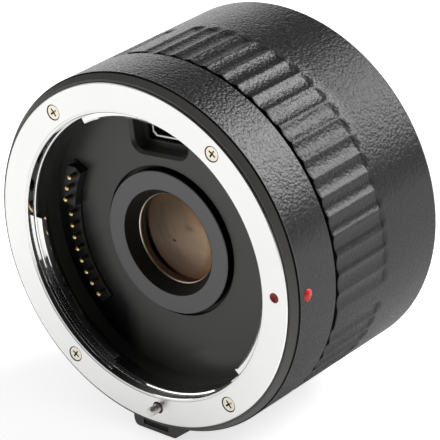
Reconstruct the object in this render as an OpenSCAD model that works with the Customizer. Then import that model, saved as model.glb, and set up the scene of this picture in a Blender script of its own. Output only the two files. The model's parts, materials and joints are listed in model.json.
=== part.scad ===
// Camera teleconverter: a short tube with a group of lenses, held between a camera and its lens.
// Sizes are in millimetres. The optical axis lies along Y and the front faces -Y.
// The origin is the middle of the rear flange, and the release tab points straight down.

/* [Main sizes] */
// Distance from the front flange to the rear flange
body_length = 43; // [40:0.5:48]
// Depth from the front flange to the floor of the well
well_depth = 8.4; // [8:0.1:9]
// Depth from the front flange to the face of the collar round the front lens
collar_depth = 7.4; // [7:0.1:7.8]

/* [Front mount] */
// Radius of the throat of the front bayonet
throat_r = 27; // [25:0.1:29]
// Width of the front mount ring
ring_w = 5.5; // [5.3:0.1:6.5]
// Thickness of the front mount ring
ring_t = 2.2; // [2:0.1:2.6]
// Height of the ring above the rim of the barrel
ring_proud = 0.4; // [0.2:0.05:0.6]
// Width of the barrel's rim outside the ring
rim_w = 1.5; // [1.3:0.1:3]
// Depth from the front flange to the lugs
lug_depth = 2.2; // [2:0.05:2.4]
// Thickness of the lugs
lug_t = 1.1; // [1:0.05:1.4]
// Height of the lugs inside the throat
lug_w = 1.5; // [1.3:0.05:1.7]

/* [Grip] */
// Number of flutes round the grip
flute_count = 60; // [48:1:60]
// Depth of each flute
flute_depth = 0.4; // [0.3:0.05:0.45]
// Radius of the hollow of each flute
flute_r = 4.1; // [3.6:0.1:4.4]
// Length over which each flute fades out at the rear
flute_fade = 1.2; // [0.6:0.1:2]
// Length of the fluted grip
grip_length = 14.6; // [12:0.1:16]
// Width of the groove in front of the grip
groove_w = 1; // [0.6:0.1:1.2]

/* [Lenses] */
// Radius of the lenses
lens_r = 10.55; // [10:0.05:11]
// Free radius of the front lens
aperture_r = 8.5; // [8:0.1:9]
// Width of the ridged cone round the front lens
cone_w = 1.63; // [1.4:0.01:1.8]
// Width of the flat collar round the cone
collar_w = 3.52; // [3.2:0.01:3.8]
// Wall of the lens tube
cell_wall = 4.5; // [4:0.1:5]

/* [Contacts] */
// Distance from the throat to the circle of contact pins
contact_inset = 4.7; // [4.4:0.1:5]
// Radius of a contact pin
pin_r = 0.45; // [0.4:0.01:0.5]
// Height of a contact pin above its block
pin_height = 1.8; // [1.6:0.1:2]
// Travel of a contact pin
pin_travel = 1.2; // [0.8:0.1:1.4]

/* [Release] */
// Angle of the release tab round the axis, from the index dot
tab_angle = -91.5; // [-92.5:0.5:-90.5]
// Height of the tab above the barrel
tab_height = 1.7; // [1.5:0.05:2]
// Travel of the release slider
release_travel = 2.6; // [2.2:0.1:2.8]
// Radius of the lock pin
lock_pin_r = 0.85; // [0.75:0.05:0.95]
// Height of the lock pin above the front flange
lock_pin_height = 2.4; // [2:0.1:2.6]

/* [Rear mount] */
// Gap between the pilot of the rear mount and the throat of a camera
pilot_gap = 0.1; // [0.05:0.05:0.2]
// Gap between the rear lugs and the throat of a camera
rear_lug_gap = 0.45; // [0.4:0.05:0.6]
// Wall of the neck behind the rear flange
neck_wall = 1.45; // [1.3:0.05:1.6]
// Radius of the lock hole in the rear flange
lock_hole_r = 1.25; // [1.1:0.05:1.4]

/* [Fits] */
// Gap round each sliding pin
running_gap = 0.05; // [0.03:0.01:0.08]
// Gap between pieces that are fixed together
fixed_gap = 0.05; // [0.03:0.01:0.08]

/* [Hidden] */
$fn = 96;

pin_count = 11;
raised_count = 3;

// Angles round the axis start at the index dot and grow anticlockwise, seen from the front.
up_angle = tab_angle + 180;
lug_spans = [[64.5, 120], [178.5, 246.5], [315.5, 375.5]];
rear_lug_spans = [[67, 117], [188, 244], [318, 362]];
mount_screw_angles = [53, 127, 233, 307];
lock_pin_angle = tab_angle + 4;
contact_angles = concat(
    [for (i = [0:raised_count - 1]) 156.5 + 6.3 * i],
    [for (i = [0:pin_count - raised_count - 1]) 178.2 + 5.91 * i]
);
block_start = 152.8;
block_step = 173.3;
block_end = 223.4;
socket_angle = 93.5;
third = [0, 120, 240];

// Levels along the axis, measured from the rear flange toward the front.
front_z = body_length;
seat_z = front_z - ring_t;
rim_z = front_z - ring_proud;
lug_top_z = front_z - lug_depth;
lug_bottom_z = lug_top_z - lug_t;
front_barrel_z = front_z - 11.7;
grip_top_z = front_barrel_z - groove_w;
grip_end_z = grip_top_z - grip_length;
spigot_z = front_barrel_z + 2.85;
flange_z = seat_z - 2.5;
floor_z = front_z - well_depth;
floor_t = 1;
collar_z = front_z - collar_depth;
board_drop = 5.3;
board_z = front_barrel_z - board_drop;
board_t = 1.2;
post_h = 4.3;
chassis_t = 2.5;
post_hole = 3;
ledge_t = 2.5;
ledge_slope = 3;
chassis_z = board_z - board_t - post_h - chassis_t;
barrel_end_z = 1.1;
shim_t = 0.15;
rear_flange_t = 1.6;
rear_wall_z = rear_flange_t + shim_t;
rear_wall_t = 2.5;
lock_hole_free = 0.6;
block_low_z = floor_z + 0.3;
block_high_z = block_low_z + 1.5;

// Radii, from the throat outward and from the lenses outward.
ring_r = throat_r + ring_w;
barrel_r = ring_r + rim_w;
cone_r = aperture_r + cone_w;
collar_r = cone_r + collar_w;
floor_hole_r = collar_r + 0.7;
shell_r = barrel_r - 3;
spigot_r = barrel_r - 1.6;
cup_r = throat_r + 0.9;
wall_r = throat_r + 0.3;
cell_r = lens_r + fixed_gap + cell_wall;
hub_r = cell_r + 1.9;
cell_flange_r = cell_r + 4.4;
cell_screw_r = cell_r + 2.8;
board_in = cell_r + 2.7;
board_out = shell_r - 0.6;
board_mid = (board_in + board_out) / 2;
post_circle_r = shell_r - 4.2;
ledge_r = shell_r - 3.5;
ledge_screw_r = shell_r - 1.8;
ring_screw_r = throat_r + 2.9;
lock_circle_r = throat_r + 2.4;
dot_circle_r = throat_r + 2.76;
lug_r = throat_r - lug_w;
neck_r = lug_r - 0.2;
rear_bore_r = neck_r - neck_wall;
pilot_r = throat_r - pilot_gap;
rear_lug_r = throat_r - rear_lug_gap;
contact_circle_r = throat_r - contact_inset;
block_in = contact_circle_r - 1.1;
block_out = contact_circle_r + 2;

// Rows of lenses and spacers, as thicknesses from the front seat toward the rear.
lens_seat_z = collar_z - 2.7;
stack = [3, 2.5, 3, 3, 4, 3.2, 5, 3, 2.8];
function stack_z(i) = i == 0 ? lens_seat_z : stack_z(i - 1) - stack[i - 1];
spacer_hole_r = lens_r - 1.45;
lens_face_r = lens_r - 1.55;
cell_end_z = stack_z(9) - 0.4;

// Painted dot in the front flange.
dot_r = 0.9;
dot_depth = 0.6;

// Screws: radius of the head, radius of the shank and height of the head.
mount_screw = [1.3, 0.7, 0.8];
small_screw = [1.1, 0.6, 0.9];
head_gap = 0.2;
head_rim = 0.25;
head_sink = 0.1;

// Sizes of the release parts, in the frame of the tab: outward, sideways, along the axis.
tab_flat = barrel_r + tab_height;
tab_top_z = front_z - 1.5;
slot_floor = barrel_r - 0.1;
slot_roof = slot_floor + 1;
slot_half = 2.9;
button_half = 2.1;
button_top_z = tab_top_z - 1;
button_length = 5;
arm_top_z = flange_z - 0.7;
arm_t = 1.7;
arm_bottom_z = arm_top_z - arm_t;
arm_half = 1.5;
plate_bottom_z = arm_bottom_z - 0.9;
slot_bottom_z = plate_bottom_z - release_travel - 0.1;
tab_bottom_z = slot_bottom_z - 0.8;
spring_seat_z = arm_bottom_z - 6.4;

// Flat cable between the rear contacts and the board.
ribbon_r = contact_circle_r + 1;
ribbon_half = 4.5;
ribbon_t = 0.2;
rear_block_z = rear_wall_z + 0.7;
rear_block_in = contact_circle_r - 2.4;
rear_screw_angles = [block_start + 1.6, block_end - 3.4];
rear_screw_z = 0.75;
pad_high_z = -3.6;
pad_low_z = -5.7;

// Sizes of the pocket for the service socket, outward from the axis.
pocket_in = cell_r + 1.4;
pocket_out = pocket_in + 7;
pocket_half = 6.2;
pocket_corner = 2.2;
pocket_depth = 3;
pocket_slope = 0.6;
pocket_wall = 0.8;
socket_in = pocket_in + 2;
socket_high = 2.6;
socket_half = 3.8;
socket_z = floor_z - pocket_depth;

black = [0.09, 0.09, 0.09];
matte = [0.2, 0.2, 0.2];
chrome = [0.86, 0.87, 0.88];
nickel = [0.78, 0.75, 0.68];
gold = [0.85, 0.72, 0.35];
red = [0.65, 0.08, 0.08];
glass = [0.45, 0.35, 0.25];
alloy = [0.6, 0.61, 0.62];
green = [0.1, 0.3, 0.18];

// Turns the upright mount frame so that the axis lies level and the tab points down.
module lay() {
    rotate([90, 0, 0])
        rotate([0, 0, 90 - up_angle])
            children();
}

// Moves a piece to a radius, an angle and a level.
module at(r, angle, z) {
    rotate([0, 0, angle])
        translate([r, 0, z])
            children();
}

// A flat ring between two radii and two levels.
module ring(r1, r2, z1, z2) {
    rotate_extrude()
        translate([r1, z1])
            square([r2 - r1, z2 - z1]);
}

// Part of a flat ring between two angles.
module sector(r1, r2, a1, a2, z1, z2) {
    rotate([0, 0, a1])
        rotate_extrude(angle = a2 - a1)
            translate([r1, z1])
                square([r2 - r1, z2 - z1]);
}

// A box given by its two corners.
module span(low, high) {
    translate(low)
        cube(high - low);
}

// A countersunk screw with a cross recess, head up, the top of the head at zero.
module flat_screw(size, length) {
    difference() {
        union() {
            translate([0, 0, -size[2]])
                cylinder(h = size[2] - head_rim, r1 = size[1], r2 = size[0]);
            translate([0, 0, -head_rim])
                cylinder(h = head_rim, r = size[0]);
            translate([0, 0, -length])
                cylinder(h = length - size[2] / 2, r = size[1]);
        }
        for (turn = [0, 90])
            rotate([0, 0, turn])
                span([-0.62 * size[0], -0.16, -0.45], [0.62 * size[0], 0.16, 1]);
    }
}

// The hole for a countersunk screw, a little wider than the screw.
module flat_screw_hole(size, length) {
    cone_z = -size[2] - head_sink - fixed_gap;
    translate([0, 0, cone_z])
        cylinder(h = size[2] - head_rim, r1 = size[1] + fixed_gap, r2 = size[0] + head_gap);
    translate([0, 0, cone_z + size[2] - head_rim])
        cylinder(h = head_rim + 1, r = size[0] + head_gap);
    translate([0, 0, -length - 0.2])
        cylinder(h = length, r = size[1] + fixed_gap);
}

// A screw with a raised flat head that stands on the level zero.
module pan_screw(size, length) {
    difference() {
        union() {
            cylinder(h = size[2], r = size[0]);
            translate([0, 0, -length])
                cylinder(h = length + size[2] / 2, r = size[1]);
        }
        for (turn = [0, 90])
            rotate([0, 0, turn])
                span([-0.6 * size[0], -0.15, size[2] - 0.4], [0.6 * size[0], 0.15, size[2] + 1]);
    }
}

// A dome that stands on a level, with a given rim radius and height, pointing up or down.
module cap(rim, high, z, way) {
    big = (rim * rim + high * high) / (2 * high);
    intersection() {
        translate([0, 0, z + way * (high - big)])
            sphere(r = big);
        translate([0, 0, z + way * high / 2])
            cylinder(h = high + 1, r = rim, center = true);
    }
}

// The ball that hollows a lens face, with a given rim radius and depth.
module dish(rim, deep, z, way) {
    big = (rim * rim + deep * deep) / (2 * deep);
    translate([0, 0, z + way * (big - deep)])
        sphere(r = big);
}

// One lens of the row: a bulge above zero swells the face, a bulge below zero hollows it.
module lens(i, front_bulge, rear_bulge, front_rim = lens_face_r) {
    top = stack_z(i);
    bottom = stack_z(i + 1);
    difference() {
        union() {
            translate([0, 0, bottom])
                cylinder(h = top - bottom, r = lens_r);
            if (front_bulge > 0)
                cap(front_rim, front_bulge, top, 1);
            if (rear_bulge > 0)
                cap(lens_face_r, rear_bulge, bottom, -1);
        }
        if (front_bulge < 0)
            dish(front_rim, -front_bulge, top, 1);
        if (rear_bulge < 0)
            dish(lens_face_r, -rear_bulge, bottom, -1);
    }
}

// A rectangle with two round corners on the side nearest the axis.
module pocket_outline(grow, facets = $fn) {
    corner = pocket_corner + grow;
    half = pocket_half + grow;
    translate([pocket_in - grow + corner, -half])
        square([pocket_out - pocket_in + 2 * grow - corner, 2 * half]);
    translate([pocket_in - grow, corner - half])
        square([corner + 0.1, 2 * half - 2 * corner]);
    for (side = [-1, 1])
        translate([pocket_in - grow + corner, side * (half - corner)])
            circle(r = corner, $fn = facets);
}

// The sloping mouth of the pocket.
module pocket_mouth() {
    thin = 0.02;
    hull() {
        translate([0, 0, floor_z - pocket_slope])
            linear_extrude(thin)
                pocket_outline(0, 32);
        translate([0, 0, floor_z + thin])
            linear_extrude(thin)
                pocket_outline(pocket_slope, 32);
    }
}

// The trapezoid of the socket: the side nearest the axis has cut corners.
module socket_outline(grow) {
    half = socket_half + grow;
    low = socket_in - grow;
    high = socket_in + socket_high + grow;
    polygon([
        [low, 0.75 - half],
        [low + 0.75, -half],
        [high, -half],
        [high, half],
        [low + 0.75, half],
        [low, half - 0.75]
    ]);
}

// One unbroken round wire wound into a coil, of six sides and eight rings to each curl.
module coil(r, wire, z1, z2, turns) {
    rings = turns * 8;
    rise = z2 - z1 - 2 * wire;
    points = [
        for (i = [0:rings])
            for (j = [0:5])
                let (
                    a = 45 * i,
                    reach = r + wire * cos(60 * j)
                )
                [reach * cos(a), reach * sin(a), z1 + wire + rise * i / rings + wire * sin(60 * j)]
    ];
    sides = [
        for (i = [0:rings - 1])
            for (j = [0:5])
                let (
                    a = 6 * i + j,
                    b = 6 * i + (j + 1) % 6
                )
                each [[a, b, a + 6], [b, b + 6, a + 6]]
    ];
    first = [[for (j = [0:5]) 5 - j]];
    last = [[for (j = [0:5]) 6 * rings + j]];
    polyhedron(points = points, faces = concat(sides, first, last));
}

// Outline of the release tab, seen from the front: steep on one side and sloping on the other.
module tab_outline() {
    polygon([
        [barrel_r - 1.4, -5.3],
        [barrel_r + 0.5, -5.15],
        [tab_flat - 0.55, -4.95],
        [tab_flat - 0.15, -4.6],
        [tab_flat, -4.1],
        [tab_flat, 4.1],
        [tab_flat - 0.12, 4.6],
        [barrel_r - 0.8, 7.6],
        [barrel_r - 1.4, 7.4]
    ]);
}

// Holes of the mount screws through a flange, cut from its face at a level.
module mount_screw_holes(circle_r, z, way, length) {
    for (angle = mount_screw_angles)
        at(circle_r, angle, z)
            rotate([way > 0 ? 0 : 180, 0, 0])
                flat_screw_hole(mount_screw, length);
}

// Straight holes for the shanks of the mount screws.
module shank_holes(circle_r, z1, z2) {
    for (angle = mount_screw_angles)
        at(circle_r, angle, z1)
            cylinder(h = z2 - z1, r = mount_screw[1] + fixed_gap);
}

// Front shell with the seat of the mount ring, the release tab and the guide of the lock pin.
module front_barrel() {
    color(black) lay()
        difference() {
            union() {
                rotate_extrude()
                    polygon([
                        [barrel_r, front_barrel_z],
                        [barrel_r, front_z - 1.85],
                        [barrel_r - 0.3, front_z - 1.7],
                        [barrel_r - 0.2, front_z - 1.55],
                        [ring_r + 0.5, rim_z],
                        [ring_r + fixed_gap, rim_z],
                        [ring_r + fixed_gap, seat_z],
                        [cup_r + fixed_gap, seat_z],
                        [cup_r + fixed_gap, flange_z],
                        [barrel_r - 2.5, flange_z],
                        [barrel_r - 2.5, spigot_z + 0.1],
                        [spigot_r + fixed_gap, spigot_z + 0.1],
                        [spigot_r + fixed_gap, front_barrel_z]
                    ]);
                rotate([0, 0, tab_angle])
                    translate([0, 0, tab_bottom_z])
                        linear_extrude(tab_top_z - tab_bottom_z)
                            tab_outline();
            }
            rotate([0, 0, tab_angle])
                release_slot();
            at(lock_circle_r, lock_pin_angle, flange_z - 1)
                cylinder(h = ring_t + 3, r = lock_pin_r + running_gap);
            shank_holes(ring_screw_r, front_z - 4.9, front_z);
            at(0, 0, front_z - 3.9)
                rotate([0, 90, 0])
                    translate([0, 0, barrel_r - 0.7])
                        cylinder(h = 2, r = 1.2);
        }
}

// Everything that the slider needs open: its slot, the window of the button and the path of the arm.
module release_slot() {
    span([slot_floor, -slot_half, slot_bottom_z], [slot_roof, slot_half, front_z]);
    span(
        [slot_roof - 0.5, -button_half - 0.15, button_top_z - button_length - release_travel - 0.2],
        [tab_flat + 1, button_half + 0.15, button_top_z + 0.3]
    );
    span(
        [barrel_r - 4, -arm_half - 0.1, arm_bottom_z - release_travel - 0.2],
        [slot_floor + 0.5, arm_half + 0.1, flange_z]
    );
}

// The round bar that hollows one flute of the grip, thinner at the rear where the flute fades out.
module flute() {
    rotate_extrude()
        polygon([
            [0, grip_end_z],
            [flute_r - flute_depth - 0.05, grip_end_z],
            [flute_r, grip_end_z + flute_fade],
            [flute_r, grip_top_z + 1],
            [0, grip_top_z + 1]
        ]);
}

// Rear shell with the fluted grip, a ledge for the chassis and the wall behind the rear mount.
module main_barrel() {
    color(black) lay()
        difference() {
            union() {
                rotate_extrude()
                    polygon([
                        [barrel_r - 0.5, barrel_end_z],
                        [barrel_r - 0.15, barrel_end_z + 0.15],
                        [barrel_r, barrel_end_z + 0.5],
                        [barrel_r, grip_top_z],
                        [spigot_r, grip_top_z],
                        [spigot_r, spigot_z],
                        [shell_r, spigot_z],
                        [shell_r, chassis_z],
                        [ledge_r, chassis_z],
                        [ledge_r, chassis_z - ledge_t],
                        [shell_r, chassis_z - ledge_t - ledge_slope],
                        [shell_r, rear_wall_z + rear_wall_t],
                        [rear_bore_r + 0.1, rear_wall_z + rear_wall_t],
                        [rear_bore_r + 0.1, rear_wall_z],
                        [spigot_r + 0.1, rear_wall_z],
                        [spigot_r + 0.1, barrel_end_z]
                    ]);
                rotate([0, 0, lock_pin_angle])
                    intersection() {
                        span([lock_circle_r - 1.3, -1.7, board_z + 0.3], [barrel_r, 1.7, spring_seat_z]);
                        translate([0, 0, board_z])
                            cylinder(h = 6, r = shell_r + 0.5);
                    }
            }
            for (i = [0:flute_count - 1])
                at(barrel_r - flute_depth + flute_r, (i + 0.5) * 360 / flute_count, 0)
                    flute();
            rotate([0, 0, tab_angle])
                span(
                    [shell_r - 1, -arm_half - 0.2, arm_bottom_z - release_travel - 0.4],
                    [spigot_r + 0.5, arm_half + 0.2, spigot_z + 1]
                );
            for (angle = third)
                at(ledge_screw_r, angle + 30, chassis_z - 2.2)
                    cylinder(h = 3, r = small_screw[1] + fixed_gap);
            shank_holes(lock_circle_r, rear_wall_z - 1, rear_wall_z + 2.1);
            at(lock_circle_r, lock_pin_angle, rear_wall_z - 1)
                cylinder(h = rear_wall_t + 0.5, r = lock_hole_r + lock_hole_free);
            at(0, -60, 6)
                rotate([0, 90, 0])
                    translate([0, 0, barrel_r - 0.5])
                        cylinder(h = 2, r = 1.1);
        }
}

// Inner plate that carries the lens group in its hub and the circuit board on three posts.
module chassis() {
    color(alloy) lay()
        difference() {
            union() {
                ring(cell_r + fixed_gap, shell_r - 0.1, chassis_z, chassis_z + chassis_t);
                ring(cell_r + fixed_gap, hub_r, chassis_z, board_z - 0.5);
                for (angle = third)
                    at(post_circle_r, angle + 90, chassis_z + 1)
                        cylinder(h = chassis_t + post_h - 1, r = 1.6);
            }
            for (angle = third) {
                at(ledge_screw_r, angle + 30, chassis_z - 1)
                    cylinder(h = chassis_t + 2, r = small_screw[1] + 0.1);
                at(cell_screw_r, angle, chassis_z - 1)
                    cylinder(h = 2.6, r = small_screw[1] + fixed_gap);
                at(post_circle_r, angle + 90, board_z - board_t - post_hole)
                    cylinder(h = post_hole + 1, r = small_screw[1] + fixed_gap);
            }
            rotate([0, 0, 186])
                span(
                    [ribbon_r - 1.1, -ribbon_half - 0.7, chassis_z - 1],
                    [ribbon_r + 1.4, ribbon_half + 0.7, chassis_z + chassis_t + 1]
                );
        }
}

// Three screws that hold the chassis on the ledge of the rear shell.
module chassis_screws() {
    color(nickel) lay()
        for (angle = third)
            at(ledge_screw_r, angle + 30, chassis_z + chassis_t)
                pan_screw(small_screw, chassis_t + 2);
}

// Bayonet ring of the front: flange, lip and skirt with three lugs, and the index dot's seat.
module front_mount_ring() {
    edge = 0.15;
    lip_w = 0.3;
    lip_rise = 0.2;
    relief = 0.15;
    step_w = 0.45;
    step_z = front_z - 0.1;
    skirt_z = lug_bottom_z + 0.1;
    color(chrome) lay()
        difference() {
            union() {
                rotate_extrude()
                    polygon([
                        [wall_r, skirt_z],
                        [wall_r, lug_top_z - 0.1],
                        [throat_r - lip_w, lug_top_z - 0.1],
                        [throat_r - lip_w, lug_top_z + lip_rise],
                        [throat_r + relief, lug_top_z + lip_rise],
                        [throat_r + relief, lug_top_z + lip_rise + relief],
                        [throat_r, lug_top_z + lip_rise + relief],
                        [throat_r, step_z - edge],
                        [throat_r + edge, step_z],
                        [throat_r + step_w, step_z],
                        [throat_r + step_w + edge / 2, front_z],
                        [ring_r - edge, front_z],
                        [ring_r, front_z - edge],
                        [ring_r, seat_z],
                        [cup_r - fixed_gap, seat_z],
                        [cup_r - fixed_gap, skirt_z]
                    ]);
                for (lug = lug_spans)
                    sector(lug_r, wall_r + 0.2, lug[0], lug[1], lug_bottom_z, lug_top_z);
            }
            at(lock_circle_r, lock_pin_angle, seat_z - 1)
                cylinder(h = ring_t + 2, r = lock_pin_r + 0.3);
            mount_screw_holes(ring_screw_r, front_z, 1, 4);
            at(dot_circle_r, 0, front_z - dot_depth)
                cylinder(h = 1, r = dot_r + fixed_gap);
        }
}

// Four countersunk screws of the front mount ring.
module front_mount_screws() {
    color(nickel) lay()
        for (angle = mount_screw_angles)
            at(ring_screw_r, angle, front_z - head_sink)
                flat_screw(mount_screw, 4.6);
}

// Three bowed leaf springs behind the lugs, which pull the lens back against the flange.
module bayonet_springs() {
    leaf_t = 0.2;
    bow = 0.6;
    half = 14.5;
    reach = (throat_r - 1) * sin(half);
    big = (reach * reach + bow * bow) / (2 * bow);
    low_z = lug_bottom_z - bow - 1.15 * leaf_t;
    color(nickel) lay()
        for (lug = lug_spans)
            rotate([0, 0, (lug[0] + lug[1]) / 2])
                intersection() {
                    sector(lug_r + 0.35, throat_r - 0.1, -half, half, low_z - 1, lug_bottom_z);
                    translate([0, 0, low_z + big])
                        rotate([0, 90, 0])
                            difference() {
                                cylinder(h = 40, r = big);
                                translate([0, 0, -1])
                                    cylinder(h = 42, r = big - leaf_t);
                            }
                }
}

// Dark floor of the well, with an opening for the contacts and a pocket for the socket.
module front_baffle() {
    color(matte) lay()
        difference() {
            union() {
                rotate_extrude()
                    polygon([
                        [floor_hole_r, floor_z - floor_t],
                        [cup_r, floor_z - floor_t],
                        [cup_r, floor_z],
                        [floor_hole_r, floor_z]
                    ]);
                rotate([0, 0, socket_angle])
                    translate([0, 0, socket_z - pocket_wall])
                        linear_extrude(pocket_depth)
                            pocket_outline(pocket_wall);
            }
            rotate([0, 0, socket_angle]) {
                translate([0, 0, socket_z])
                    linear_extrude(pocket_depth + 1)
                        pocket_outline(0);
                pocket_mouth();
                span(
                    [socket_in - 0.8, -socket_half - 1.3, socket_z - 2],
                    [socket_in + socket_high + 0.9, socket_half + 1.3, socket_z + 1]
                );
            }
            sector(
                block_in - 0.1, block_out + 0.1, block_start - 0.3, block_end + 0.3,
                floor_z - 2, floor_z + 1
            );
        }
}

// Dark wall of the well, from its floor to the mount ring, with a ledge half way.
module well_wall() {
    color(matte) lay()
        rotate_extrude()
            polygon([
                [throat_r - 0.35, floor_z],
                [cup_r, floor_z],
                [cup_r, lug_bottom_z],
                [wall_r, lug_bottom_z],
                [wall_r, floor_z + 3],
                [throat_r - 0.35, floor_z + 3]
            ]);
}

// Painted dot in the front flange that marks where the lens goes in.
module index_dot() {
    color(red) lay()
        at(dot_circle_r, 0, front_z - dot_depth)
            difference() {
                cylinder(h = dot_depth - 0.05, r = dot_r);
                dish(dot_r - 0.05, 0.3, dot_depth - 0.05, 1);
            }
}

// Raised bead on the front shell in line with the dot.
module index_bead() {
    color(red) lay()
        at(0, 0, front_z - 3.9)
            rotate([0, 90, 0]) {
                translate([0, 0, barrel_r - 0.7])
                    cylinder(h = 0.7, r = 1.16);
                cap(1.16, 0.4, barrel_r, 1);
            }
}

// Tube that holds the row of lenses, with a ridged hollow cone at its front.
module lens_barrel() {
    ridges = 7;
    cone_start_r = aperture_r + 0.15;
    step_r = (cone_r - cone_start_r) / ridges;
    step_z = (collar_z - lens_seat_z - 0.3) / ridges;
    cone = [
        for (i = [0:ridges - 1])
            each [
                [cone_start_r + i * step_r, lens_seat_z + 0.3 + i * step_z],
                [cone_start_r + i * step_r + 0.05, lens_seat_z + 0.3 + (i + 0.75) * step_z]
            ]
    ];
    color(black) lay()
        difference() {
            rotate_extrude()
                polygon(concat(
                    [
                        [lens_r + fixed_gap, cell_end_z],
                        [lens_r + fixed_gap, lens_seat_z],
                        [aperture_r, lens_seat_z],
                        [aperture_r, lens_seat_z + 0.15]
                    ],
                    cone,
                    [
                        [cone_r, collar_z],
                        [collar_r - 0.15, collar_z],
                        [collar_r, collar_z - 0.15],
                        [collar_r, floor_z - floor_t],
                        [cell_r, floor_z - floor_t],
                        [cell_r, chassis_z],
                        [cell_flange_r, chassis_z],
                        [cell_flange_r, chassis_z - 2],
                        [cell_r, chassis_z - 2],
                        [cell_r, cell_end_z]
                    ]
                ));
            for (angle = third)
                at(cell_screw_r, angle, chassis_z - 3)
                    cylinder(h = 4, r = small_screw[1] + 0.1);
        }
}

// Three screws that hold the lens tube under the chassis.
module lens_barrel_screws() {
    color(nickel) lay()
        for (angle = third)
            at(cell_screw_r, angle, chassis_z - 2)
                rotate([180, 0, 0])
                    pan_screw(small_screw, 3.4);
}

// Front lens, swollen on both faces.
module lens_front() {
    color(glass) lay()
        lens(0, 0.8, 0.5, aperture_r - 0.1);
}

// Spacer between the first and the second lens.
module spacer_front() {
    color(black) lay()
        ring(spacer_hole_r, lens_r, stack_z(2), stack_z(1));
}

// Second lens, hollow on both faces.
module lens_second() {
    color(glass) lay()
        lens(2, -0.8, -1);
}

// Spacer between the second and the third lens.
module spacer_middle() {
    color(black) lay()
        ring(spacer_hole_r, lens_r, stack_z(4), stack_z(3));
}

// Third lens, whose rear face fits the hollow of the fourth.
module lens_third() {
    color(glass) lay()
        lens(4, 1, 1.4);
}

// Fourth lens, cemented behind the third.
module lens_fourth() {
    color(glass) lay()
        lens(5, -1.4, -0.6);
}

// Spacer between the fourth lens and the rear lens.
module spacer_rear() {
    color(black) lay()
        ring(spacer_hole_r, lens_r, stack_z(7), stack_z(6));
}

// Rear lens.
module lens_rear() {
    color(glass) lay()
        lens(7, -0.5, 0.8);
}

// Ring that closes the lens tube, with two slots for a spanner.
module rear_retainer() {
    color(black) lay()
        difference() {
            rotate_extrude()
                polygon([
                    [spacer_hole_r, stack_z(8)],
                    [lens_r, stack_z(8)],
                    [lens_r, stack_z(9)],
                    [spacer_hole_r + 0.9, stack_z(9)]
                ]);
            for (side = [0, 180])
                rotate([0, 0, side])
                    span([lens_r - 0.65, -0.4, stack_z(9) - 1], [lens_r + 1, 0.4, stack_z(9) + 0.8]);
        }
}

// Circuit board on the posts of the chassis.
module main_board() {
    color(green) lay()
        difference() {
            ring(board_in, board_out, board_z - board_t, board_z);
            for (angle = third)
                at(post_circle_r, angle + 90, board_z - board_t - 1)
                    cylinder(h = board_t + 2, r = small_screw[1] + 0.1);
        }
}

// Three screws that hold the board on its posts.
module board_screws() {
    color(nickel) lay()
        for (angle = third)
            at(post_circle_r, angle + 90, board_z)
                pan_screw(small_screw, board_t + 2.4);
}

// Processor, memory and power parts on the board.
module board_chips() {
    color(black) lay()
        for (chip = [[20, 6, 0.9], [-5, 4, 0.8], [-52, 5, 1], [50, 3, 0.7]])
            at(board_mid, chip[0], board_z)
                translate([-chip[1] / 2, -chip[1] / 2, 0])
                    cube([chip[1], chip[1], chip[2]]);
}

// Top level of the contact block at the pin with a given number.
function pin_block_z(i) = i < raised_count ? block_high_z : block_low_z;

// Depth under the block's top where the collar of a pin stops.
pin_stop = 0.8;
pin_collar_r = pin_r + 0.23;
pin_collar_t = 0.5;
pin_spring_t = pin_travel + 1.2;

// Insulating block on the board that guides the eleven contact pins.
module front_contact_block() {
    color(black) lay()
        difference() {
            union() {
                sector(
                    block_in - 1.2, block_out + 0.5, block_start - 3, block_end + 3,
                    board_z, floor_z - floor_t - 0.1
                );
                sector(block_in, block_out, block_start, block_end, board_z + 1, block_low_z);
                intersection() {
                    sector(block_in, block_out, block_start, block_step, block_low_z - 1, block_high_z);
                    rotate([0, 0, block_start])
                        translate([contact_circle_r, 0, block_low_z - 2])
                            linear_extrude(block_high_z - block_low_z + 4)
                                polygon([
                                    [-4, 1.2],
                                    [-0.9, 0.3],
                                    [0.3, 0],
                                    [1.4, 0.55],
                                    [4, 1.9],
                                    [4, 12],
                                    [-4, 12]
                                ]);
                }
            }
            for (i = [0:pin_count - 1])
                at(contact_circle_r, contact_angles[i], pin_block_z(i)) {
                    translate([0, 0, -2])
                        cylinder(h = 3, r = pin_r + running_gap);
                    translate([0, 0, -pin_stop - pin_collar_t - pin_spring_t])
                        cylinder(h = pin_collar_t + pin_spring_t, r = pin_collar_r + 0.1);
                }
        }
}

// Springs under the contact pins, drawn as plain sleeves because the block hides them.
module contact_springs() {
    color(nickel) lay()
        for (i = [0:pin_count - 1])
            at(contact_circle_r, contact_angles[i], pin_block_z(i) - pin_stop - pin_collar_t - pin_spring_t)
                ring(0.3, pin_collar_r, 0, pin_spring_t);
}

// One contact pin with a domed tip and a collar that keeps it in the block.
module contact_pin(i) {
    top = pin_height - 0.25;
    color(gold) lay()
        at(contact_circle_r, contact_angles[i], pin_block_z(i)) {
            translate([0, 0, -pin_stop - pin_collar_t])
                cylinder(h = pin_collar_t, r = pin_collar_r);
            translate([0, 0, -pin_stop - pin_collar_t / 2])
                cylinder(h = top + pin_stop + pin_collar_t / 2, r = pin_r);
            cap(pin_r, 0.25, top, 1);
        }
}

// Metal shell of the service socket, open to the front.
module socket_shell() {
    color(chrome) lay()
        rotate([0, 0, socket_angle])
            translate([0, 0, board_z])
                difference() {
                    linear_extrude(socket_z - board_z + 0.1)
                        socket_outline(0);
                    translate([0, 0, 0.4])
                        linear_extrude(socket_z - board_z + 1)
                            socket_outline(-0.3);
                }
}

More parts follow.
